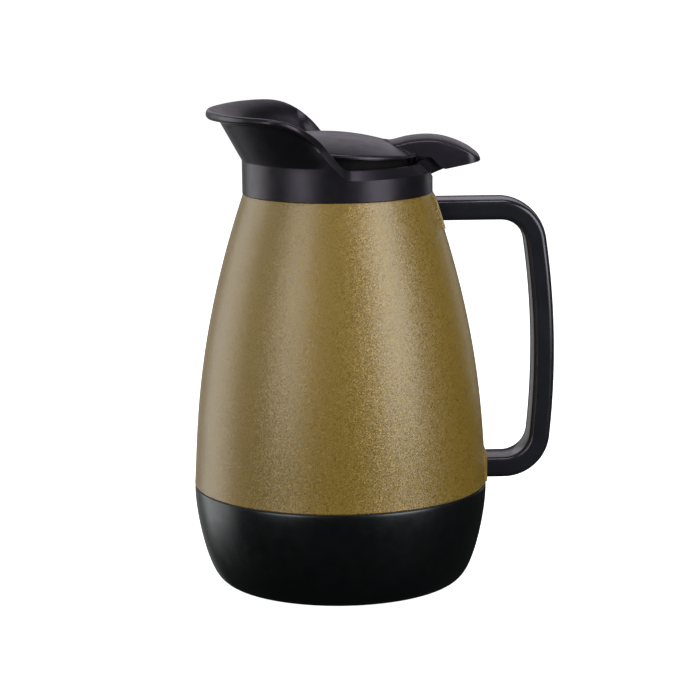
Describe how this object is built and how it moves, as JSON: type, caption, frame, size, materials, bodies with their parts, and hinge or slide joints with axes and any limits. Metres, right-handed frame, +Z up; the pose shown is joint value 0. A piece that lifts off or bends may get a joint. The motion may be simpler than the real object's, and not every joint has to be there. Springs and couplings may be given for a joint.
{
  "type": "carafe",
  "caption": "Insulated table carafe: tapered fleck-gold shell on a black base cup, black collar with flared pouring spout, loop handle, and a domed flip lid opened by a rear thumb lever.",
  "frame": {"origin": "Centre of the foot ring's underside, on the table", "axes": "+Z up along the body's axis, +X towards the handle, -X towards the spout, +Y by the right-hand rule"},
  "size_m": [0.1576, 0.128, 0.2074],
  "materials": {
    "gold_shell": "olive-gold plastic with fine metallic fleck, semi-gloss",
    "gloss_black": "polished black plastic",
    "satin_black": "black plastic, low sheen",
    "black_rubber": "matt black rubber",
    "grey_rubber": "translucent grey silicone",
    "liner": "smooth light grey food-grade plastic",
    "foam": "rigid poured foam, dull",
    "steel": "plain stainless steel"
  },
  "bodies": {
    "vessel": {"outer_shell": "gold_shell", "base_cup": "gloss_black", "base_seal_ring": "black_rubber", "foot_ring": "black_rubber", "fill_plug": "satin_black", "inner_liner": "liner", "insulation_jacket": "foam", "base_insulation": "foam", "spout_collar": "satin_black", "collar_seal_ring": "grey_rubber", "neck_gasket": "grey_rubber", "handle": "gloss_black", "handle_screws": "steel", "handle_washers": "steel", "hinge_pin": "steel", "lid_spring": "steel"},
    "lid": {"lid_cover": "satin_black", "thumb_lever": "satin_black", "lid_stopper": "satin_black", "stopper_seal": "grey_rubber", "lid_screws": "steel", "lid_insulation": "foam"}
  },
  "joints": [
    {"name": "lid_hinge", "type": "hinge", "parent": "vessel", "child": "lid", "pos_m": [0.0362, 0, 0.1826], "axis": [0, 1, 0], "range_deg": [0, 25], "stiffness_Nm_per_rad": 0.05, "springref_deg": -20.05, "deforming": ["lid_spring"]}
  ]
}
